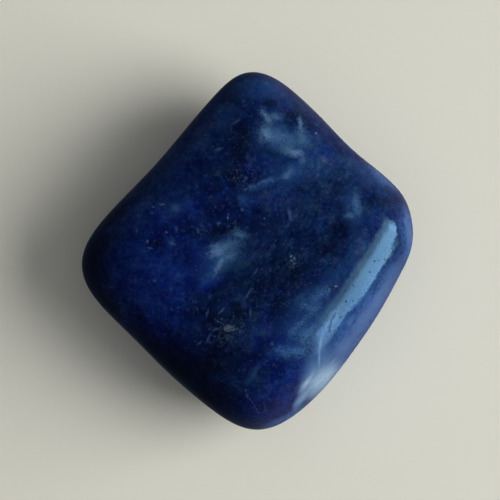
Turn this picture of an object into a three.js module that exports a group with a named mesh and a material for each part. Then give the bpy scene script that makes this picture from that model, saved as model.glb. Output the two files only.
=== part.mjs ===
import * as THREE from 'three';
import { mergeVertices } from 'three/addons/utils/BufferGeometryUtils.js';

// A tumbled and polished sodalite, one solid stone. Millimetres, +Z up.
// It is a rounded lozenge that lies on its broad underside, with its longer diagonal along Y.
// The origin is on the ground, under the middle of the stone's box.

// ---------------------------------------------------------------- Driving dimensions

// Heights above the ground.
const thickness = 16;
const beltHeight = 7.6;

// The four side walls: the way each one faces (degrees from +X towards +Y), how far it lies
// from the middle at the belt, and the radius that it bows to along its length.
const walls = [
  { name: 'back right', faces: 47, reach: 14.6, bowRadius: 600 },
  { name: 'back left', faces: 137.7, reach: 12.82, bowRadius: 600 },
  { name: 'front left', faces: 227, reach: 14.45, bowRadius: 180 },
  { name: 'front right', faces: 327, reach: 14.38, bowRadius: 44 },
];

// Every wall bulges between the top and the underside.
const wallBulgeRadius = 26;

// How softly the walls run into each other at the corners, most of all towards the front left.
const cornerSoftness = 1.65;
const cornerSoftnessSwing = 0.58;
const softestCornerFaces = 219;

// The broad faces are shallow domes, each leaning a little to one side.
const topDome = { radius: 75, leanX: 0.02, leanY: -0.012 };
const undersideDome = { radius: 80, leanX: 0.012, leanY: 0.004 };

// The rim between a wall and a broad face is a round. The top one is widest at the front left.
const topRimRadius = 5.3;
const topRimRadiusSwing = 1.5;
const widestTopRimFaces = 225;
const undersideRimRadius = 4.8;

// The worn spot that the stone lies on.
const restSpotRadius = 5;

// Soft flats that the tumbling ground on: the way each one faces (degrees around from +X, and
// above the ground), its distance from the middle of the stone, and how widely its edge is worn.
const stoneMiddle = new THREE.Vector3(0, 0, 7.9);
const flats = [
  { name: 'blunt back corner', around: 84, above: 3, distance: 18, wear: 1.6 },
  { name: 'blunt right corner', around: 4, above: 4, distance: 16.35, wear: 0.9 },
  { name: 'over the left corner', around: 176, above: 33, distance: 14.8, wear: 1.8 },
  { name: 'under the left corner', around: 205, above: -35, distance: 14.6, wear: 1.8 },
  { name: 'under the back right wall', around: 62, above: -38, distance: 13.5, wear: 1.4 },
  { name: 'under the front right wall', around: 318, above: -42, distance: 13.2, wear: 1.4 },
];

// Shallow hollows: the middle of each one, the distance over which it fades, and its depth.
const hollows = [
  { name: 'nick in the back right wall', at: [10.2, 10.2, 8.2], fade: 1.4, depth: 0.3 },
  { name: 'along the back right wall', at: [9.4, 10.8, 7.8], fade: 3.4, depth: 0.28 },
  { name: 'along the back left wall', at: [-9.4, 8.0, 7.6], fade: 3.8, depth: 0.42 },
  { name: 'in the top, behind the right corner', at: [6.5, 6.2, 16.2], fade: 3.4, depth: 0.3 },
  { name: 'in the top, on the left', at: [-3.5, -5.5, 16.2], fade: 4.2, depth: 0.22 },
  { name: 'in the front left wall', at: [-10.4, -9.2, 5.2], fade: 2.6, depth: 0.3 },
  { name: 'in the front right wall', at: [10.5, -9.0, 4.4], fade: 2.4, depth: 0.28 },
  { name: 'in the underside', at: [7.0, 3.5, 0.4], fade: 2.8, depth: 0.35 },
  { name: 'under the front corner', at: [-1.5, -13.6, 2.6], fade: 1.9, depth: 0.4 },
];

// Places that wore less than the stone around them and stand full, given as the hollows are.
const fullPlaces = [
  { name: 'rim over the right corner', at: [15.6, 0.4, 12.0], fade: 1.8, height: 0.6 },
];

// Faint swells left under the polish: the way each one runs, its length, start and height.
const swells = [
  { across: [0.9, 0.2, 0.4], length: 9.5, start: 1.1, height: 0.03 },
  { across: [-0.5, 0.8, -0.3], length: 11, start: 2.3, height: 0.04 },
  { across: [0.2, 0.3, 0.9], length: 7.5, start: 0.4, height: 0.025 },
];

// Fineness of the mesh: how often each edge of the starting ball's icosahedron is divided.
const divisions = 19;
const ballProportions = new THREE.Vector3(16.5, 18, 8.5);

// ---------------------------------------------------------------- Directions and middles

const inRadians = THREE.MathUtils.degToRad;

for (const wall of walls) {
  const turn = inRadians(wall.faces);
  wall.facing = new THREE.Vector2(Math.cos(turn), Math.sin(turn));
}

for (const flat of flats) {
  const turn = inRadians(flat.around);
  const tilt = inRadians(flat.above);
  const level = Math.cos(tilt);
  flat.facing = new THREE.Vector3(Math.cos(turn) * level, Math.sin(turn) * level, Math.sin(tilt));
}

for (const place of [...hollows, ...fullPlaces]) {
  place.middle = new THREE.Vector3(...place.at);
}

for (const swell of swells) {
  swell.crest = new THREE.Vector3(...swell.across).normalize();
}

// ---------------------------------------------------------------- Shape of the stone

// Each function below that starts with "from" tells how far a point lies from a surface:
// negative inside the stone, positive outside.

function fromWall(point, { facing, reach, bowRadius }) {
  const outward = point.x * facing.x + point.y * facing.y;
  const along = point.y * facing.x - point.x * facing.y;
  const rise = point.z - beltHeight;
  return outward - reach + along ** 2 / (2 * bowRadius) + rise ** 2 / (2 * wallBulgeRadius);
}

// All four walls as one surface: each has a share, so neighbours flow together at a corner.
function fromWalls(point) {
  const turn = Math.atan2(point.y, point.x) - inRadians(softestCornerFaces);
  const softness = cornerSoftness + cornerSoftnessSwing * Math.cos(turn);
  const lean = new THREE.Vector2();
  let shares = 0;
  for (const wall of walls) {
    const share = Math.exp(fromWall(point, wall) / softness);
    lean.addScaledVector(wall.facing, share);
    shares += share;
  }
  const slope = lean.length() / shares;
  return (softness * Math.log(shares)) / slope;
}

// The fall of a dome below its crown.
function domeFall(point, { radius, leanX, leanY }) {
  const out = point.x ** 2 + point.y ** 2;
  return out / (2 * radius) - leanX * point.x - leanY * point.y;
}

// Two surfaces that meet in a round of the given radius.
function rounded(a, b, radius) {
  const round = Math.hypot(Math.max(radius + a, 0), Math.max(radius + b, 0));
  return Math.min(-radius, Math.max(a, b)) + round;
}

// Two surfaces that meet in an edge worn over the given width.
function worn(a, b, width) {
  const near = Math.max(width - Math.abs(a - b), 0) / width;
  return Math.max(a, b) + (near ** 2 * width) / 4;
}

function fromBody(point) {
  const turn = Math.atan2(point.y, point.x) - inRadians(widestTopRimFaces);
  const topRadius = topRimRadius + topRimRadiusSwing * Math.cos(turn);
  const dip = restSpotRadius ** 2 / (2 * undersideDome.radius);
  const side = fromWalls(point);
  const top = point.z - thickness + domeFall(point, topDome);
  const underside = -point.z - dip + domeFall(point, undersideDome);
  const upper = rounded(side, top, topRadius);
  const lower = rounded(side, underside, undersideRimRadius);
  return Math.max(upper, lower);
}

// How close a point is to the middle of a place: 1 there, and fading away from it.
function closeness(point, { middle, fade }) {
  return Math.exp(-((point.distanceTo(middle) / fade) ** 2) / 2);
}

function fromStone(point) {
  const outFromMiddle = point.clone().sub(stoneMiddle);
  let distance = fromBody(point);
  for (const flat of flats) {
    distance = worn(distance, outFromMiddle.dot(flat.facing) - flat.distance, flat.wear);
  }
  for (const hollow of hollows) {
    distance += hollow.depth * closeness(point, hollow);
  }
  for (const place of fullPlaces) {
    distance -= place.height * closeness(point, place);
  }
  for (const swell of swells) {
    const phase = (2 * Math.PI * point.dot(swell.crest)) / swell.length + swell.start;
    distance += swell.height * Math.sin(phase);
  }
  // The ground takes the lowest part away and leaves the flat spot.
  return Math.max(distance, -point.z);
}

// ---------------------------------------------------------------- Mesh

// The point where a line out of the middle of the stone meets its surface, found by halving
// a stretch that starts inside the stone and ends outside it.
const farOutside = 30;
const halvings = 48;

function surfacePoint(direction) {
  const point = new THREE.Vector3();
  let inside = 0;
  let outside = farOutside;
  for (let step = 0; step < halvings; step += 1) {
    const reach = (inside + outside) / 2;
    point.copy(stoneMiddle).addScaledVector(direction, reach);
    if (fromStone(point) > 0) {
      outside = reach;
    } else {
      inside = reach;
    }
  }
  return point.copy(stoneMiddle).addScaledVector(direction, inside);
}

// An evenly divided ball, flattened like the stone so that its points spread evenly over it,
// is pushed out to the surface.
const weldDistance = 1e-5;
const groundContact = 1e-6;

function stoneSkin() {
  const ball = new THREE.IcosahedronGeometry(1, divisions);
  ball.deleteAttribute('normal');
  ball.deleteAttribute('uv');
  const skin = mergeVertices(ball, weldDistance);
  const points = skin.attributes.position;
  const direction = new THREE.Vector3();
  for (let i = 0; i < points.count; i += 1) {
    direction.fromBufferAttribute(points, i).multiply(ballProportions).normalize();
    const { x, y, z } = surfacePoint(direction);
    points.setXYZ(i, x, y, z < groundContact ? 0 : z);
  }
  skin.computeBoundingBox();
  const boxMiddle = skin.boundingBox.getCenter(new THREE.Vector3());
  skin.translate(-boxMiddle.x, -boxMiddle.y, 0);
  skin.computeVertexNormals();
  return skin;
}

const polishedSodalite = new THREE.MeshStandardMaterial({
  color: 0x1d3a78,
  roughness: 0.2,
  metalness: 0,
});

const sodaliteStone = new THREE.Mesh(stoneSkin(), polishedSodalite);
sodaliteStone.name = 'sodalite_stone';

const part = new THREE.Group();
part.add(sodaliteStone);

export default part;
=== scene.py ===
from math import cos, radians, sin

import bpy
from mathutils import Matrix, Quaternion, Vector


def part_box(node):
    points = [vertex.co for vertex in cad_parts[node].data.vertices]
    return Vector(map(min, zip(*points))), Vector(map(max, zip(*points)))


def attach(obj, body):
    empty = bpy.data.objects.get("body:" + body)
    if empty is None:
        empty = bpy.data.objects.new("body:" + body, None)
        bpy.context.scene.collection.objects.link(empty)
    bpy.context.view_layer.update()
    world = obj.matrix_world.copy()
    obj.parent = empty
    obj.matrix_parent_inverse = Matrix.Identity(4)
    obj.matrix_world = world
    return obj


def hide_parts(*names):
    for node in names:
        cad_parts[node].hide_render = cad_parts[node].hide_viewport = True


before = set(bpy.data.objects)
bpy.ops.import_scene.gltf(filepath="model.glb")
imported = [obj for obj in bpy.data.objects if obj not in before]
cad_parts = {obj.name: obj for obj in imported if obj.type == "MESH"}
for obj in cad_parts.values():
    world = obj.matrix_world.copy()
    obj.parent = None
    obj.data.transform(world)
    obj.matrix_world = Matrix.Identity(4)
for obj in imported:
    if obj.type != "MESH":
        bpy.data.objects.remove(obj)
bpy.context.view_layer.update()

scene = bpy.context.scene


# ---------------------------------------------------------------- The stone
# One piece of sodalite, tumbled until its corners and rims were round and then polished.
# A ball is pressed onto the frame's solid and smoothed, as the last, fine grit smooths the
# worn shape, and keeps the nick, flats and hollows of the solid.

lowest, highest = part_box("sodalite_stone")
middle = (lowest + highest) / 2
reach = (highest - lowest) / 2

bpy.ops.object.select_all(action="DESELECT")
worn_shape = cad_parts["sodalite_stone"].copy()
worn_shape.data = worn_shape.data.copy()
worn_shape.name = "worn_shape"
worn_shape.parent = None
scene.collection.objects.link(worn_shape)
worn_shape.select_set(True)
bpy.context.view_layer.objects.active = worn_shape
bpy.ops.object.mode_set(mode="EDIT")
bpy.ops.mesh.select_all(action="SELECT")
bpy.ops.mesh.remove_doubles(threshold=1e-6)
bpy.ops.object.mode_set(mode="OBJECT")
worn_shape.modifiers.new("rounding", "SUBSURF").levels = 2
bpy.ops.object.modifier_apply(modifier="rounding")

ball_cuts = 26
ball_size = 0.9  # times the stone's own size

bpy.ops.object.select_all(action="DESELECT")
bpy.ops.mesh.primitive_cube_add(size=2, location=middle)
stone = bpy.context.object
stone.name = "tumbled_sodalite"
bpy.ops.object.mode_set(mode="EDIT")
bpy.ops.mesh.select_all(action="SELECT")
bpy.ops.mesh.subdivide(number_cuts=ball_cuts)
bpy.ops.transform.tosphere(value=1)
bpy.ops.transform.resize(value=tuple(reach * ball_size), center_override=middle)
bpy.ops.object.mode_set(mode="OBJECT")
bpy.ops.object.transform_apply(location=True, rotation=True, scale=True)

press = stone.modifiers.new("press", "SHRINKWRAP")
press.target = worn_shape
press.wrap_method = "PROJECT"
press.use_negative_direction = True
press.use_positive_direction = True
smooth = stone.modifiers.new("smooth", "SMOOTH")
smooth.factor = 0.5
smooth.iterations = 2
polish = stone.modifiers.new("polish", "SUBSURF")
polish.levels = 2
polish.render_levels = 2
for step in ("press", "smooth", "polish"):
    bpy.ops.object.modifier_apply(modifier=step)
bpy.ops.object.shade_smooth()
bpy.data.objects.remove(worn_shape)

# The smoothing shrinks the stone by a hair, so it is brought back to the solid's size.
corners = [stone.matrix_world @ Vector(corner) for corner in stone.bound_box]
own_lowest = Vector(map(min, *corners))
own_highest = Vector(map(max, *corners))
own_middle = (own_lowest + own_highest) / 2
growth = [full / own for full, own in zip(highest - lowest, own_highest - own_lowest)]
bpy.ops.object.mode_set(mode="EDIT")
bpy.ops.mesh.select_all(action="SELECT")
bpy.ops.transform.resize(value=growth, center_override=own_middle)
bpy.ops.transform.translate(value=middle - own_middle)
bpy.ops.object.mode_set(mode="OBJECT")

sodalite = bpy.data.materials.new("polished_sodalite")
sodalite.use_nodes = True
stone.data.materials.append(sodalite)
skin = sodalite.node_tree.nodes["Principled BSDF"]
skin.inputs["IOR"].default_value = 1.48
skin.inputs["Specular IOR Level"].default_value = 0.4

# Nodes are added to this tree: the stone's here, and further down the window's and the room's.
tree = sodalite.node_tree


def add(kind, **settings):
    made = tree.nodes.new("ShaderNode" + kind)
    for name, value in settings.items():
        setattr(made, name, value)
    return made


def feed(socket, source):
    """Leads another node's output into a socket, or sets the socket's own value."""
    if isinstance(source, bpy.types.NodeSocket):
        tree.links.new(source, socket)
    else:
        socket.default_value = source


def work_out(operation, *values):
    made = add("Math", operation=operation)
    for socket, value in zip(made.inputs, values):
        feed(socket, value)
    return made.outputs["Value"]


def work_out_vector(operation, *values):
    made = add("VectorMath", operation=operation)
    for socket, value in zip(made.inputs, values):
        feed(socket, value)
    return made.outputs["Value" if operation == "LENGTH" else "Vector"]


def between(value, low, high, most=1.0):
    """Rises smoothly from 0 at low to most at high."""
    made = add("MapRange", interpolation_type="SMOOTHSTEP")
    feed(made.inputs["Value"], value)
    feed(made.inputs["From Min"], low)
    feed(made.inputs["From Max"], high)
    feed(made.inputs["To Max"], most)
    return made.outputs["Result"]


def grains(at, size, detail=2.0, roughness=0.5, output="Fac"):
    """Noise whose grains are about so many millimetres across."""
    made = add("TexNoise")
    feed(made.inputs["Vector"], at)
    made.inputs["Scale"].default_value = 1 / size
    made.inputs["Detail"].default_value = detail
    made.inputs["Roughness"].default_value = roughness
    return made.outputs[output]


def stretched(at, turn, stretch):
    """Places for noise that is drawn out in one direction, which lies at the turn."""
    made = add("Mapping", vector_type="TEXTURE")
    feed(made.inputs["Vector"], at)
    made.inputs["Rotation"].default_value = (0, 0, radians(turn))
    made.inputs["Scale"].default_value = (stretch, 1, 1)
    return made.outputs["Vector"]


def turned_back(at, turn):
    made = add("VectorRotate", rotation_type="Z_AXIS")
    feed(made.inputs["Vector"], at)
    made.inputs["Angle"].default_value = radians(-turn)
    return made.outputs["Vector"]


# Markings are ovals in millimetres and degrees, (x, y, half length, half width, turn). Those in
# one list share a height and a half depth, so they show where the stone's skin is that high.
on_the_top = {"height": 15.2, "depth": 4.0}
on_the_rim = {"height": 13, "depth": 4.0}
across_the_rim = {"height": 10.5, "depth": 7.0}
down_the_rim = {"height": 10.5, "depth": 7.5}
on_the_walls = {"height": 9, "depth": 8}
low_on_the_walls = {"height": 4.2, "depth": 1.8}
on_the_underside = {"height": 0.5, "depth": 4.0}


def nearest_oval(at, ovals, height=on_the_top["height"], depth=on_the_top["depth"]):
    """How far off the nearest oval is: 0 in its middle, 1 at its edge and more outside."""
    nearest = None
    for x, y, length, width, turn in ovals:
        offset = turned_back(work_out_vector("SUBTRACT", at, (x, y, height)), turn)
        away = work_out_vector("LENGTH", work_out_vector("DIVIDE", offset, (length, width, depth)))
        nearest = away if nearest is None else work_out("MINIMUM", nearest, away)
    return nearest


# Places on the stone in millimetres, and the same ones led astray, so that no edge is smooth.
millimetres = add("Mapping")
feed(millimetres.inputs["Vector"], add("TexCoord").outputs["Object"])
millimetres.inputs["Scale"].default_value = (1000, 1000, 1000)
place = millimetres.outputs["Vector"]


def swings(size, detail=2, roughness=0.5):
    """Noise that swings between about -0.5 and 0.5 in each direction."""
    noise = grains(place, size, detail, roughness, output="Color")
    return work_out_vector("SUBTRACT", noise, (0.5, 0.5, 0.5))


def led_astray(at, swing, width):
    return work_out_vector("ADD", at, work_out_vector("MULTIPLY", swing, (width, width, width)))


bent = led_astray(place, swings(size=3.2), width=1.0)
drifted = led_astray(bent, swings(size=0.8, detail=3, roughness=0.6), width=0.8)
strayed = led_astray(place, swings(size=0.2), width=0.35)

# The stone's unevenness, from broad to fine, and threads that run through its slate parts.
clouding = grains(place, size=2.6, detail=3, roughness=0.55)
mottling = grains(place, size=0.9, roughness=0.6)
graining = grains(place, size=0.3, roughness=0.6)
powdering = grains(place, size=0.13, roughness=0.7)
threads = grains(stretched(place, turn=52, stretch=4), size=0.35, roughness=0.6)


def around_zero(noise, height):
    """The noise as a swing of about the height, half of it below 0."""
    return work_out("MULTIPLY", work_out("SUBTRACT", noise, 0.5), height)


def added(*values):
    total = values[0]
    for value in values[1:]:
        total = work_out("ADD", total, value)
    return total


def multiplied(*values):
    product = values[0]
    for value in values[1:]:
        product = work_out("MULTIPLY", product, value)
    return product


def field(ovals, outer=1.7, inner=0.3, most=1.0, at=drifted, **where):
    """Ovals that fade in softly, from nothing at outer to most at inner."""
    return between(nearest_oval(at, ovals, **where), outer, inner, most)


def cloud(ovals, outer, inner, most, coarse=2.0, fine=2.0, grain=graining, at=drifted, **where):
    """Ovals whose edge breaks up into coarse wisps and fine grains, and that are thin in places."""
    broken = added(
        nearest_oval(at, ovals, **where),
        around_zero(mottling, coarse),
        around_zero(grain, fine),
        around_zero(powdering, 0.7 * fine),
    )
    return between(broken, outer, inner, most)


def blend(amount, below, above):
    """The colour below where the amount is 0, and the one above where it is 1."""
    made = add("Mix", data_type="RGBA")
    feed(made.inputs["Factor"], amount)
    feed(made.inputs["A"], below)
    feed(made.inputs["B"], above)
    return made.outputs["Result"]


# The blue itself. Broad fields are a purer royal blue, more of a slate colour, lighter or darker.
royal_fields = [
    (-9.3, -1.7, 4.3, 4.8, 0),
    (-9.2, -6.6, 4.6, 2.8, -40),
    (-4.9, -1.6, 1.8, 2.6, 0),
    (-11.2, -5.8, 1.8, 1.8, 0),
    (3.4, -15.2, 4.4, 2.0, 25),
    (4.3, -12.2, 1.8, 1.7, 30),
    (-11.8, -6.4, 1.4, 1.2, -45),
    (2.6, -9.8, 1.6, 1.2, 0),
    (1.2, -15.8, 2.6, 1.8, 0),
    (3.6, -14.2, 1.4, 1.2, 0),
]
half_royal_fields = [
    (-5.8, 4.6, 3.6, 2.4, 30),
    (-5.4, -2.6, 2.4, 2.2, 0),
    (3.2, -6.6, 1.8, 1.2, 0),
    (3.0, -9.6, 2.0, 1.6, 20),
    (-1.2, 4.2, 1.6, 1.2, 0),
    (6.4, 8.6, 3.0, 1.4, 30),
    (1.2, 16.4, 3.0, 1.2, 0),
    (-6.0, 7.4, 1.8, 1.0, 45),
    (5.8, 1.6, 1.2, 1.4, 0),
    (0.8, 7.0, 1.4, 1.0, 0),
    (5.4, -8.0, 2.2, 1.6, 40),
]
slate_fields = [
    (4.2, 0.0, 6.4, 3.0, 45),
    (-1.8, -7.2, 2.4, 1.4, 30),
    (8.0, 7.4, 3.6, 2.4, 0),
    (0.2, -0.6, 2.2, 1.6, 40),
    (1.2, 6.8, 1.6, 0.9, 30),
    (-6.4, -8.0, 1.0, 0.8, 0),
    (9.4, 0.4, 1.2, 1.2, 0),
    (-2.8, -11.4, 1.6, 1.0, 0),
    (-3.0, 7.8, 1.2, 0.8, 0),
    (12.6, 4.4, 1.4, 1.0, 0),
    (8.2, -0.8, 1.6, 1.1, 45),
    (-4.9, -4.4, 1.9, 0.8, 10),
    (0.5, -6.2, 1.0, 0.9, 0),
]
steel_fields = [
    (7.6, 9.8, 3.0, 2.6, 0),
    (6.0, 7.7, 2.6, 1.2, 30),
    (1.8, 15.9, 3.4, 1.6, -10),
    (5.6, 13.8, 3.0, 1.0, -45),
    (-3.2, 12.2, 3.4, 1.3, 50),
    (-7.4, 4.3, 1.5, 1.0, 30),
    (9.6, -1.6, 3.4, 1.2, 55),
    (1.0, 4.9, 2.6, 1.1, 15),
    (13.2, 3.6, 1.6, 2.4, 0),
    (-7.6, -2.6, 1.8, 1.6, 0),
    (-6.4, -4.6, 1.2, 1.0, 0),
    (-10.4, 4.4, 1.2, 0.8, 40),
    (0.4, 16.6, 1.4, 0.8, 0),
    (-0.2, -8.4, 2.6, 1.2, 20),
]
light_fields = [
    (-10.2, 3.6, 2.6, 1.6, 20),
    (-6.6, 8.4, 3.4, 1.4, 45),
    (-7.4, 6.0, 1.6, 0.8, 20),
    (-5.4, 4.4, 1.2, 0.8, 0),
    (-11.0, -0.8, 1.6, 2.6, 0),
    (-9.8, -5.4, 1.6, 1.2, -40),
    (2.4, 8.4, 1.4, 1.0, 0),
    (3.6, 9.8, 1.2, 0.8, -30),
    (6.8, 8.2, 1.6, 1.3, 0),
    (7.4, 1.6, 0.8, 1.4, 0),
    (10.8, 8.0, 2.0, 1.0, -42),
    (11.2, 0.8, 1.2, 0.7, 60),
    (9.2, -7.6, 1.6, 0.8, 55),
    (1.0, 16.4, 3.0, 1.6, 0),
    (-1.2, -1.4, 1.4, 1.0, 45),
    (-9.0, -8.2, 1.2, 0.7, -43),
    (-3.8, -2.8, 1.2, 0.8, 45),
    (4.0, -14.9, 1.0, 0.6, 45),
    (-1.8, 13.0, 2.2, 0.9, 20),
]
dark_fields = [
    (3.9, -2.2, 2.2, 2.0, 0),
    (2.9, -6.0, 1.6, 1.0, 20),
    (-0.6, -2.3, 1.4, 1.0, 40),
    (6.2, 1.1, 1.2, 1.0, 0),
    (-0.7, 10.4, 1.5, 2.2, -12),
    (-1.2, 2.8, 1.6, 0.8, 10),
    (9.2, 9.8, 1.2, 0.5, -42),
    (0.4, 3.2, 2.4, 1.0, 10),
    (-4.8, 8.2, 1.0, 0.8, 0),
    (-3.0, 4.2, 1.6, 1.0, 0),
    (-3.2, 6.1, 1.0, 0.7, 0),
    (-5.6, 2.2, 1.2, 0.7, 0),
    (-4.4, -10.0, 3.4, 1.8, -20),
    (-0.6, -10.0, 3.0, 1.3, 15),
    (2.4, -11.4, 1.6, 0.8, 15),
    (-0.4, 6.6, 1.6, 1.2, 0),
    (-4.4, -4.2, 1.2, 0.8, 0),
    (-6.8, -11.2, 1.6, 0.8, -42),
    (-1.4, 8.2, 1.0, 1.2, 0),
    (12.6, 4.8, 1.2, 0.6, 0),
    (2.4, -15.2, 1.2, 0.6, 25),
    (8.3, 1.4, 1.6, 1.1, 40),
    (5.4, 13.0, 1.8, 1.1, -45),
    (-3.6, -4.8, 2.6, 1.1, 35),
    (1.4, -3.8, 1.6, 1.0, 40),
    (-2.0, -7.0, 2.4, 1.2, 30),
    (-8.9, 1.0, 0.9, 0.7, 0),
]
# Painted shade: the rims on the sides turned away from the window, darkened in the colour as if in
# shadow.
shaded_rim_ovals = [
    (-12.7, -8.6, 4.0, 1.1, -45),
    (-14.1, -5.4, 2.4, 0.9, -62),
    (-7.0, -11.9, 4.8, 1.65, -42),
    (-4.0, -14.8, 2.4, 1.0, -50),
    (-15.6, -1.0, 1.2, 5.0, 0),
    (-13.8, 3.8, 1.6, 0.8, 50),
]

# The tone runs from royal blue at 0 to slate at 1, and the lightness from dark at 0 to light
# towards 1. Both start from a middling value, which noise and the fields then raise or lower.
slate = field(slate_fields)
steel = field(steel_fields)
# How much painted shade darkens the far rims.
painted_rim_shade = field(shaded_rim_ovals, outer=2.3, inner=0.0, **across_the_rim)
middling_tone = 0.50
middling_lightness = 0.42
tone = added(
    middling_tone,
    around_zero(clouding, 0.9),
    around_zero(mottling, 0.8),
    multiplied(slate, 0.35),
    multiplied(steel, 0.12),
    field(royal_fields, most=-0.72),
    field(half_royal_fields, most=-0.28),
)
lightness = added(
    middling_lightness,
    around_zero(clouding, 0.26),
    around_zero(mottling, 0.38),
    around_zero(graining, 0.24),
    around_zero(powdering, 0.30),
    multiplied(around_zero(threads, 0.36), slate),
    multiplied(steel, 0.10),
    field(light_fields, most=0.105),
    field(dark_fields, most=-0.12),
    # The painted shade on the far rims.
    multiplied(painted_rim_shade, -0.34),
)


def blue_ramp(stops):
    """A blue that follows the lightness, given at stops (lightness, colour)."""
    made = add("ValToRGB")
    feed(made.inputs["Fac"], lightness)
    ramp = made.color_ramp
    while len(ramp.elements) < len(stops):
        ramp.elements.new(0.5)
    for element, (position, colour) in zip(ramp.elements, stops):
        element.position = position
        element.color = (*colour, 1)
    return made.outputs["Color"]


royal_blue = blue_ramp([
    (0.0, (0.0003, 0.0006, 0.006)),
    (0.25, (0.0008, 0.003, 0.036)),
    (0.4, (0.0017, 0.0076, 0.080)),
    (0.6, (0.0058, 0.0255, 0.165)),
    (0.8, (0.030, 0.080, 0.24)),
])
slate_blue = blue_ramp([
    (0.0, (0.0003, 0.0010, 0.005)),
    (0.25, (0.0014, 0.0055, 0.022)),
    (0.4, (0.0034, 0.013, 0.045)),
    (0.6, (0.011, 0.036, 0.105)),
    (0.8, (0.036, 0.085, 0.18)),
])
blue = blend(tone, royal_blue, slate_blue)

# It turns a little violet here and a little teal there, most of all in its red.
tint_swing = (2.4, 0.9, 0.7)
tint = work_out_vector("MULTIPLY_ADD", swings(size=1.3, roughness=0.6), tint_swing, (1, 1, 1))
blue = work_out_vector("MULTIPLY", blue, tint)

# Near-black spots.
black_spots = [
    (-0.5, 11.0, 0.85, 2.1, -8),
    (-0.9, 9.2, 0.9, 1.0, 0),
    (-3.0, -9.5, 0.9, 0.5, 0),
    (2.3, 14.5, 0.7, 0.35, 0),
    (4.2, 12.7, 0.7, 0.8, 0),
    (2.4, 9.6, 1.0, 0.35, -10),
    (-1.2, 7.3, 0.8, 0.6, 50),
    (-1.0, 4.6, 0.9, 0.6, 30),
    (9.0, 2.1, 1.1, 0.6, 25),
    (7.8, 0.4, 0.8, 0.9, 0),
    (3.6, -5.1, 1.0, 0.8, 30),
    (4.6, -2.6, 0.7, 0.9, 0),
    (-3.7, -10.7, 1.5, 0.8, 20),
    (-1.4, -9.8, 1.5, 0.45, 18),
    (8.35, -3.55, 0.4, 0.3, 20),
    (-2.2, -8.8, 1.5, 0.7, 10),
    (-3.4, -6.4, 1.1, 0.6, 40),
    (-0.8, -5.4, 0.6, 0.9, 20),
    (1.3, -10.3, 0.5, 0.4, 0),
    (-2.6, 1.9, 1.4, 0.5, 15),
    (-11.0, -5.8, 1.0, 0.6, -50),
    (-1.9, -13.6, 0.9, 0.6, -45),
]
near_black = (0.0010, 0.0034, 0.014, 1)
blue = blend(
    cloud(black_spots, outer=1.8, inner=-0.1, most=0.8, coarse=1.8, fine=1.2),
    blue, near_black)

# Clouds of feldspar: bluish where they lie deep, and paler towards the surface.
deep_clouds = [
    (5.8, -7.0, 2.6, 1.8, 50),
    (4.0, -9.6, 1.8, 0.8, 10),
    (6.2, -4.6, 2.2, 0.8, 35),
    (1.8, 6.6, 1.8, 0.42, 17),
    (-0.3, 5.0, 0.4, 0.5, 0),
    (4.6, 7.8, 1.2, 0.9, 40),
    (3.3, 11.0, 2.1, 1.6, -20),
    (-2.6, -0.6, 2.0, 1.1, 45),
    (-6.9, 4.2, 0.6, 0.5, 0),
    (-7.4, 0.8, 0.4, 0.4, 0),
    (10.4, 4.4, 0.8, 1.7, 10),
    (-3.9, -2.5, 1.2, 0.3, 50),
    (12.6, 7.2, 1.6, 0.7, -40),
    (1.2, 16.6, 3.0, 1.3, -5),
    (0.7, -11.9, 1.3, 0.25, 50),
]
pale_clouds = [
    (1.9, 13.2, 0.8, 0.4, -57),
    (2.8, 13.2, 0.8, 0.5, 0),
    (1.95, 11.7, 0.65, 0.8, 0),
    (2.5, 11.1, 1.3, 0.8, -20),
    (3.6, 11.0, 1.5, 0.8, -25),
    (5.4, 11.0, 0.7, 1.1, 0),
    (5.3, 12.5, 0.2, 0.5, 0),
    (4.8, 9.4, 0.9, 0.45, -20),
    (3.9, 10.0, 0.8, 0.6, -30),
    (5.5, 8.7, 0.5, 0.5, 0),
    (4.0, 7.5, 0.7, 0.4, 20),
    (-0.8, 1.6, 0.7, 0.5, -30),
    (-2.1, 0.3, 1.6, 0.7, 22),
    (-2.4, -0.2, 0.7, 0.7, 0),
    (-1.6, -0.5, 1.0, 0.5, 30),
    (-2.5, -1.1, 1.2, 0.55, 55),
    (10.8, 4.6, 0.4, 1.2, 10),
    (10.2, 3.6, 0.5, 0.3, 0),
]
bright_clouds = [
    (4.7, 9.5, 0.7, 0.35, -20),
    (1.9, 13.1, 0.6, 0.22, -57),
    (2.05, 11.3, 0.55, 0.4, -30),
    (5.4, 12.3, 0.2, 0.5, 0),
    (-2.8, 0.2, 0.8, 0.4, 20),
    (-2.6, -1.4, 0.8, 0.2, 60),
    (8.0, -7.2, 1.2, 0.3, 65),
]
wispy_clouds = [
    (1.3, 6.5, 1.4, 0.18, 18),
    (6.6, -5.4, 1.1, 0.8, 0),
    (5.0, -7.2, 1.5, 0.3, 50),
    (5.9, -8.1, 1.2, 0.8, 20),
    (3.2, -9.6, 0.8, 0.35, -35),
    (4.7, -9.8, 0.9, 0.4, 5),
    (7.1, -4.4, 1.2, 0.5, 38),
    (7.8, -7.5, 1.6, 0.5, 70),
]


def grainy(colour):
    """The colour, lighter and darker by turns from grain to grain."""
    shade = added(
        1.06,
        around_zero(clouding, 0.6),
        around_zero(mottling, 1.2),
        around_zero(graining, 2.0),
        around_zero(powdering, 3.2),
    )
    return work_out_vector("MULTIPLY", colour, shade)


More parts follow.
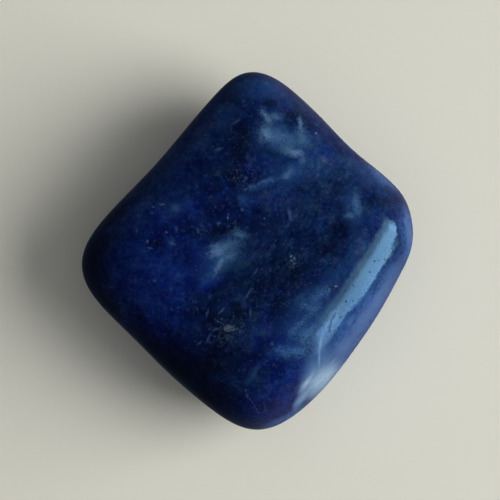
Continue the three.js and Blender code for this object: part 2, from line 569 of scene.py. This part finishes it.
deep_blue = (0.014, 0.058, 0.180)
pale_blue = (0.054, 0.130, 0.258)
wispy_blue = (0.036, 0.104, 0.262)
bright_blue = (0.12, 0.24, 0.43)
blue = blend(
    cloud(deep_clouds, outer=1.8, inner=-0.3, most=0.75),
    blue, grainy(deep_blue))
blue = blend(
    cloud(pale_clouds, outer=1.7, inner=-0.4, most=0.9, coarse=1.8, fine=2.6),
    blue, grainy(pale_blue))
blue = blend(
    cloud(wispy_clouds, outer=1.6, inner=0.0, most=0.75, coarse=3.6, fine=4.4),
    blue, grainy(wispy_blue))
blue = blend(
    cloud(bright_clouds, outer=2.0, inner=0.0, most=0.5, coarse=1.6, fine=2.6),
    blue, grainy(bright_blue))

# The same clouds and spots go on low down on the walls and on the underside.
low_clouds = [
    (-11.4, -8.8, 3.0, 1.7, -43),
    (-7.6, -12.2, 1.2, 1.3, -43),
    (-8.2, 9.4, 2.6, 1.6, 47),
    (-11.6, 6.2, 1.0, 1.2, 47),
    (11.6, 8.6, 2.2, 1.6, -43),
    (6.8, 13.2, 1.2, 1.2, -43),
]
underside_clouds = [
    (3.6, 4.2, 3.2, 1.3, 38),
    (5.8, 6.6, 1.5, 1.1, 0),
    (-3.4, -5.2, 2.4, 1.1, 60),
    (-6.2, 3.4, 1.6, 1.2, 0),
    (2.4, -8.4, 1.9, 0.7, 25),
]
underside_spots = [
    (0.4, 0.6, 1.8, 0.9, 40),
    (-4.8, -1.4, 1.2, 0.8, 0),
    (6.6, -3.2, 1.4, 0.8, 50),
    (-1.8, 8.6, 1.6, 0.7, 20),
]
low_blue = (0.046, 0.115, 0.25)
blue = blend(
    cloud(
        underside_spots, outer=1.8, inner=-0.1, most=0.8, coarse=1.8, fine=1.2,
        **on_the_underside),
    blue, near_black)
blue = blend(
    cloud(low_clouds, outer=1.8, inner=-0.3, most=0.75, **low_on_the_walls),
    blue, grainy(low_blue))
blue = blend(
    cloud(underside_clouds, outer=1.8, inner=-0.3, most=0.8, **on_the_underside),
    blue, grainy(low_blue))

# Painted light on the right-hand walls, lightest on the front right wall that faces the window, a
# painted reflection of the room in a pale band along that wall, and a white, streaky cloud that
# crosses its rim.
window_lit_walls = [
    (11.3, -6.4, 6.2, 1.6, 55.5),
    (9.4, -10.4, 2.6, 1.0, 50),
    (3.6, -16.6, 2.4, 0.35, 30),
    (15.8, 1.2, 0.7, 2.4, 8),
    (13.2, 7.4, 1.8, 0.5, -42),
]
reflection_bands = [
    (12.1, -5.8, 5.0, 0.6, 55.5),
    (9.5, -9.3, 1.7, 0.75, 55),
    (10.1, -6.8, 0.6, 0.22, 55),
    (13.2, 7.6, 1.3, 0.35, -42),
    (15.9, 2.0, 0.35, 1.8, 8),
]
light_hazes = [
    (7.4, -9.8, 1.8, 0.75, 82),
    (7.0, -12.7, 1.8, 1.1, 50),
    (6.4, -11.4, 1.4, 0.8, 62),
    (5.5, -14.7, 1.0, 0.3, 45),
]
white_haze = [
    (7.2, -12.5, 1.8, 1.05, 50),
    (7.4, -9.0, 0.7, 0.16, 78),
    (5.75, -14.3, 1.2, 0.28, 48),
    (7.1, -10.6, 1.2, 0.12, 84),
]
white_clouds = [
    (7.75, -12.7, 1.3, 0.75, 50),
    (5.95, -12.9, 0.8, 0.25, 65),
]
streaks = grains(stretched(place, turn=55, stretch=8), size=0.35, roughness=0.6)


def streaky(colour):
    """The colour, lighter and darker by turns in streaks along the wall."""
    shade = added(1.0, around_zero(streaks, 1.0), around_zero(powdering, 0.35))
    return work_out_vector("MULTIPLY", colour, shade)


window_lit_wall_blue = (0.020, 0.070, 0.225)
reflection_band_blue = (0.072, 0.136, 0.31)
haze_blue = (0.060, 0.145, 0.34)
whitish_blue = (0.18, 0.29, 0.44)
bluish_white = (0.335, 0.475, 0.62)
# Painted light: the walls that face the window are made lighter in the colour.
blue = blend(
    field(window_lit_walls, outer=1.8, inner=0.4, most=0.9, **on_the_walls),
    blue, grainy(window_lit_wall_blue))
# Painted reflection: a pale lavender band along the front right wall, and thin ones by the right
# corner and the back right rim.
blue = blend(
    cloud(
        reflection_bands, outer=1.8, inner=0.1, most=0.9, coarse=0.5, fine=1.2, grain=streaks,
        **on_the_walls),
    blue, streaky(reflection_band_blue))
blue = blend(
    field(light_hazes, outer=1.8, inner=0.2, most=0.82, at=bent, **down_the_rim),
    blue, streaky(haze_blue))
blue = blend(
    cloud(
        white_haze, outer=1.8, inner=0.0, most=0.8, coarse=0.3, fine=1.2, grain=streaks, at=bent,
        **down_the_rim),
    blue, streaky(whitish_blue))
blue = blend(
    cloud(
        white_clouds, outer=2.3, inner=-0.1, most=0.8, coarse=0.3, fine=1.3, grain=streaks, at=bent,
        **across_the_rim),
    blue, streaky(bluish_white))


# Pinprick grains of pale mineral, strewn all over and closer together in some places.
def pinpricks(spacing, reach, rarity):
    """Dots about so many millimetres apart, of which the rarity leaves only some."""
    made = add("TexVoronoi")
    feed(made.inputs["Vector"], strayed)
    made.inputs["Scale"].default_value = 1 / spacing
    kind = add("SeparateColor")
    feed(kind.inputs["Color"], made.outputs["Color"])
    chosen = between(kind.outputs["Red"], rarity, 1.0)
    return multiplied(between(made.outputs["Distance"], reach, 0.0), chosen)


speckled_fields = [
    (8.0, -3.7, 1.2, 0.5, 35),
    (6.0, -5.1, 1.2, 0.4, 30),
    (0.1, 7.4, 0.9, 1.0, 0),
    (-1.9, -7.7, 2.4, 1.3, 20),
    (7.9, -6.8, 0.5, 1.1, -15),
    (-8.4, 4.2, 1.8, 0.7, 0),
    (-9.5, 0.7, 0.9, 0.7, 0),
    (4.5, -1.1, 0.5, 0.7, 0),
]
dusty_fields = [
    (7.0, -4.3, 1.3, 0.5, 38),
    (8.0, -3.7, 0.8, 0.4, 35),
    (-0.4, 7.2, 1.1, 0.8, 0),
    (-1.7, -7.7, 1.6, 0.8, 25),
    (4.4, -1.0, 0.5, 0.6, 0),
    (7.9, -6.8, 0.5, 1.1, -15),
]
strewn_everywhere = 0.05
strewn_in_drifts = between(grains(place, size=2.0, roughness=0.6), 0.45, 0.75, most=0.16)
strewn = added(strewn_everywhere, strewn_in_drifts, field(speckled_fields, most=0.2))
# Specks and soft spots are kept out of the painted rim shade.
outside_rim_shade = work_out("SUBTRACT", 1.0, painted_rim_shade)
large_dots = pinpricks(spacing=0.6, reach=0.42, rarity=0.45)
small_dots = pinpricks(spacing=0.3, reach=0.46, rarity=0.55)
specks = multiplied(work_out("MAXIMUM", large_dots, small_dots), strewn, outside_rim_shade)
soft_spots = between(grains(strayed, size=0.42, detail=1), 0.58, 0.78, most=0.28)
soft_spots = multiplied(soft_spots, outside_rim_shade)
dust = between(added(graining, powdering), 1.06, 1.32, most=0.42)
dust = multiplied(dust, field(dusty_fields))
soft_spot_blue = (0.035, 0.065, 0.22, 1)
speck_blue = (0.12, 0.20, 0.37, 1)
dust_grey = (0.11, 0.18, 0.30, 1)
blue = blend(soft_spots, blue, soft_spot_blue)
blue = blend(specks, blue, speck_blue)
blue = blend(dust, blue, dust_grey)

# Single flecks, dashes and a scratch.
soft_flecks = [
    (-6.9, 4.2, 0.40, 0.38, 0),
    (-9.2, 3.7, 0.20, 0.14, 0),
    (-10.7, 2.0, 0.14, 0.30, 0),
    (-7.2, 0.7, 0.35, 0.14, -30),
    (-8.9, -2.9, 0.18, 0.14, 0),
    (-6.8, 2.1, 0.14, 0.30, 0),
    (-4.7, 2.0, 0.12, 0.28, 0),
    (-2.7, 2.7, 0.18, 0.14, 0),
    (-2.7, 9.9, 0.40, 0.20, 20),
    (-1.0, 12.6, 0.45, 0.14, 30),
    (-0.3, 14.7, 0.20, 0.20, 0),
    (-0.4, 4.0, 0.14, 0.18, 0),
    (4.2, 3.6, 0.20, 0.60, 10),
    (-3.7, -8.5, 0.60, 0.10, 65),
    (-4.6, -9.0, 0.35, 0.10, 40),
    (-3.0, -7.6, 0.30, 0.12, 20),
    (1.9, -15.6, 0.16, 0.12, 0),
    (0.2, -4.1, 0.55, 0.10, 62),
    (0.4, -6.0, 0.10, 0.45, 0),
    (0.9, -2.0, 0.35, 0.08, 55),
    (-2.4, -5.8, 0.45, 0.09, 47),
    (-3.8, -6.0, 0.45, 0.07, 72),
    (-2.6, -6.9, 0.50, 0.06, -28),
]
flecks = [
    (-8.2, 4.55, 0.20, 0.08, 5),
    (-9.1, 4.3, 0.10, 0.05, 0),
    (-9.6, 0.9, 0.03, 0.12, 0),
    (-9.4, 0.3, 0.18, 0.04, -10),
    (-7.8, 1.8, 0.10, 0.03, 0),
    (-1.8, 3.3, 0.02, 0.22, 0),
    (4.3, -0.5, 0.07, 0.06, 0),
    (4.65, -0.7, 0.06, 0.09, 20),
    (4.35, -0.95, 0.09, 0.06, 0),
    (4.6, -1.25, 0.06, 0.05, 30),
    (0.02, -13.9, 0.02, 0.34, 10),
    (0.74, -15.1, 0.95, 0.016, -60),
    (6.8, 11.5, 0.07, 0.06, 0),
    (8.7, -3.4, 0.08, 0.07, 0),
    (8.0, -3.8, 0.14, 0.04, 35),
    (7.3, -4.2, 0.07, 0.05, 0),
    (5.7, -5.2, 0.08, 0.04, 20),
]
soft_fleck_blue = (0.060, 0.110, 0.26, 1)
fleck_blue = (0.19, 0.28, 0.46, 1)
blue = blend(field(soft_flecks, outer=1.6, inner=0.0, most=0.5, at=strayed), blue, soft_fleck_blue)
blue = blend(field(flecks, outer=2.2, inner=0.4, most=0.4, at=strayed), blue, fleck_blue)

# One cream spot, broken up into grains.
cream_spots = [
    (-1.75, -7.5, 0.42, 0.22, 20),
    (-1.1, -7.6, 0.50, 0.14, 20),
]
cream = (0.135, 0.190, 0.215, 1)
blue = blend(cloud(cream_spots, outer=1.7, inner=-0.3, most=0.7, coarse=1.6, fine=4.0), blue, cream)
feed(skin.inputs["Base Color"], blue)

# The polish, with tiny pits and one short crack that it didn't take away.
pits_per_millimetre = 1.3
polish_roughness = 0.11
relief_height = 0.00003  # metres

pit_pattern = add("TexVoronoi")
feed(pit_pattern.inputs["Vector"], place)
pit_pattern.inputs["Scale"].default_value = pits_per_millimetre
lone_pits = [
    (12.5, -1.0, 0.08, 0.07, 0),
    (12.9, -0.9, 0.05, 0.05, 0),
    (12.0, -2.1, 0.06, 0.06, 0),
    (10.4, -3.4, 0.14, 0.04, -60),
    (9.6, -3.9, 0.07, 0.06, 0),
    (9.7, -4.9, 0.07, 0.06, 0),
    (9.1, -6.5, 0.08, 0.06, 0),
    (8.4, -6.5, 0.48, 0.12, 60),
    (8.1, -7.4, 0.50, 0.11, 78),
]
strewn_pits = between(pit_pattern.outputs["Distance"], 0.11, 0.04)
placed_pits = field(lone_pits, outer=1.4, inner=0.7, at=strayed, **on_the_rim)
pits = work_out("MAXIMUM", strewn_pits, placed_pits)
feed(
    skin.inputs["Roughness"],
    added(polish_roughness, around_zero(mottling, 0.08), multiplied(pits, 0.5)))
relief = add("Bump")
relief.inputs["Strength"].default_value = 1.0
relief.inputs["Distance"].default_value = relief_height
feed(relief.inputs["Height"], added(multiplied(graining, 0.26), multiplied(pits, -1.4)))
feed(skin.inputs["Normal"], relief.outputs["Normal"])

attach(stone, "root")
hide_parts("sodalite_stone")


# ---------------------------------------------------------------- Floor
# A sheet of pale, matt paper that the stone lies on. It is large enough to fill every view, and
# it doesn't show in the polish.

sheet_width = 6

bpy.ops.object.select_all(action="DESELECT")
bpy.ops.mesh.primitive_plane_add(size=sheet_width)
floor = bpy.context.object
floor.name = "paper"
paper = bpy.data.materials.new("pale_paper")
paper.use_nodes = True
paper_skin = paper.node_tree.nodes["Principled BSDF"]
paper_skin.inputs["Base Color"].default_value = (0.80, 0.785, 0.69, 1)
paper_skin.inputs["Roughness"].default_value = 0.9
paper_skin.inputs["Specular IOR Level"].default_value = 0.1
floor.data.materials.append(paper)
floor.visible_glossy = False


# ---------------------------------------------------------------- Light
# A window to the front right, whose reflection runs along the stone's front right rim, the
# daylight that falls in beside it, and the soft light of the rest of the room.


def way_towards(azimuth, height):
    return Vector((cos(azimuth) * cos(height), sin(azimuth) * cos(height), sin(height)))


def facing_back(way, roll=0.0):
    """The turn of a light that lies this way off and faces the stone."""
    return way.to_track_quat("Z", "Y") @ Quaternion((0, 0, 1), roll)


def area_light(name, way, distance, size, power, colour, roll=0.0):
    bpy.ops.object.light_add(type="AREA", location=middle + way * distance)
    light = bpy.context.object
    light.name = name
    light.rotation_euler = facing_back(way, roll).to_euler()
    light.data.shape = "RECTANGLE"
    light.data.size, light.data.size_y = size
    light.data.energy = power
    light.data.color = colour
    return light


window_height = radians(35)
window_way = way_towards(radians(337), window_height)
window_distance = 0.6
window_roll = radians(-10)
window_shift_across = 0.135
window_shift_down = 0.03
window = area_light(
    "window", window_way, window_distance, size=(0.73, 0.60), power=13.8, colour=(0.31, 0.68, 1),
    roll=window_roll)
window_turn = facing_back(window_way, window_roll)
window_across = window_turn @ Vector((1, 0, 0))
window_up = window_turn @ Vector((0, 1, 0))
window.location += window_across * window_shift_across - window_up * window_shift_down
window.visible_diffuse = False

# Along the window, its top edge, its sill and its brightness rise and fall. Places in it run
# from 0 to 1, along it and upward.
window.data.use_nodes = True
tree = window.data.node_tree
emission = tree.nodes["Emission"]
place_in_window = add("SeparateXYZ")
feed(place_in_window.inputs["Vector"], add("NewGeometry").outputs["Parametric"])
along, upward = place_in_window.outputs["X"], place_in_window.outputs["Y"]


def along_the_window(*spots):
    """A value that changes along the window, given at spots (along, value) from end to end."""
    made = add("FloatCurve")
    feed(made.inputs["Value"], along)
    curve = made.mapping.curves[0]
    curve.points[0].location = spots[0]
    curve.points[-1].location = spots[-1]
    for spot in spots[1:-1]:
        curve.points.new(*spot)
    made.mapping.update()
    return made.outputs["Value"]


top_edge = along_the_window(
    (0, 0.56), (0.13, 0.66), (0.21, 0.66), (0.27, 0.66), (0.33, 0.60), (0.46, 0.62), (0.6, 0.55),
    (0.8, 0.55), (1, 0.50))
sill = along_the_window(
    (0, 0.06), (0.06, 0.12), (0.14, 0.23), (0.21, 0.17), (0.28, 0.06), (0.36, 0.05), (0.42, 0.18),
    (0.5, 0.20), (0.62, 0.21), (0.75, 0.26), (1, 0.30))
brightness = along_the_window(
    (0, 0.02), (0.03, 0.12), (0.06, 0.28), (0.12, 0.42), (0.19, 0.42), (0.27, 0.50), (0.46, 0.62),
    (0.62, 0.66), (0.70, 0.78), (0.78, 0.70), (0.85, 0.50), (0.92, 0.36), (0.96, 0.18), (1, 0.0))
below_top = work_out("SUBTRACT", top_edge, upward)
above_sill = work_out("SUBTRACT", upward, sill)

# The pane ends softly at its top, where a dimmer band goes on, and is a little brighter by the
# sill. Under a stretch of the sill runs a thin, lit ledge.
pane = between(below_top, -0.11, 0.11)
dim_band = between(below_top, -0.27, -0.13, most=0.36)
by_the_sill = between(above_sill, 0.12, 0.0, most=0.25)
glow = added(work_out("MAXIMUM", dim_band, pane), by_the_sill)
glow = multiplied(glow, between(above_sill, 0.0, 0.03))
ledge = multiplied(
    between(upward, 0.07, 0.10),
    between(upward, 0.16, 0.12, most=0.5),
    between(along, 0.33, 0.40),
    between(along, 0.62, 0.46),
)
glow = multiplied(added(glow, ledge), multiplied(brightness, 2))

# Its light is a little less blue in the dimmer band.
clear_light = (1, 1, 1, 1)
yellower_light = (1, 1, 0.8, 1)
feed(emission.inputs["Color"], blend(between(below_top, -0.1, 0.1), yellower_light, clear_light))
feed(emission.inputs["Strength"], glow)

# The daylight and the light from the ceiling don't show in the polish.
daylight_way = way_towards(radians(0), window_height)
daylight_colour = (1, 1, 0.98)
daylight = area_light(
    "daylight", daylight_way, window_distance, size=(0.43, 0.485), power=4.2,
    colour=daylight_colour)
daylight.visible_glossy = False
ceiling_way = Vector((0, 0, 1))
ceiling_distance = 0.9
ceiling = area_light(
    "ceiling", ceiling_way, ceiling_distance, size=(1.2, 1.2), power=2.0, colour=daylight_colour)
ceiling.visible_glossy = False

room = bpy.data.worlds.new("room")
scene.world = room
room.use_nodes = True
tree = room.node_tree
room_air = tree.nodes["Background"]

# What the polish reflects is lighter low down towards the window, and what the eye sees past the
# paper is as pale as the paper.
dull_shine = (0.018, 0.026, 0.042, 1)
window_side_shine = (0.26, 0.26, 0.31, 1)
soft_room_light = (0.05, 0.055, 0.07, 1)
pale_backdrop = (0.62, 0.61, 0.55, 1)
way = add("SeparateXYZ")
feed(way.inputs["Vector"], add("TexCoord").outputs["Generated"])
seen_by = add("LightPath").outputs
towards_window = between(added(way.outputs["X"], multiplied(way.outputs["Y"], -0.2)), -0.4, 0.9)
low_down = between(way.outputs["Z"], 0.5, -0.2)
shine = blend(multiplied(towards_window, low_down), dull_shine, window_side_shine)
room_light = blend(seen_by["Is Glossy Ray"], soft_room_light, shine)
feed(room_air.inputs["Color"], blend(seen_by["Is Camera Ray"], room_light, pale_backdrop))
scene.view_settings.view_transform = "Standard"


# ---------------------------------------------------------------- Camera
# It looks straight down on the stone from 27 cm over its waist, and takes in a view half as wide
# again as the stone.

camera_height = 0.27
waist_height = 0.0076
shown_width = 0.05
aim = Vector((0.00035, 0.0001, 0))
bpy.ops.object.camera_add(location=aim + Vector((0, 0, waist_height + camera_height)))
camera = bpy.context.object
camera.data.sensor_width = 36
camera.data.lens = camera.data.sensor_width * camera_height / shown_width
camera.data.clip_start = 0.01
scene.camera = camera
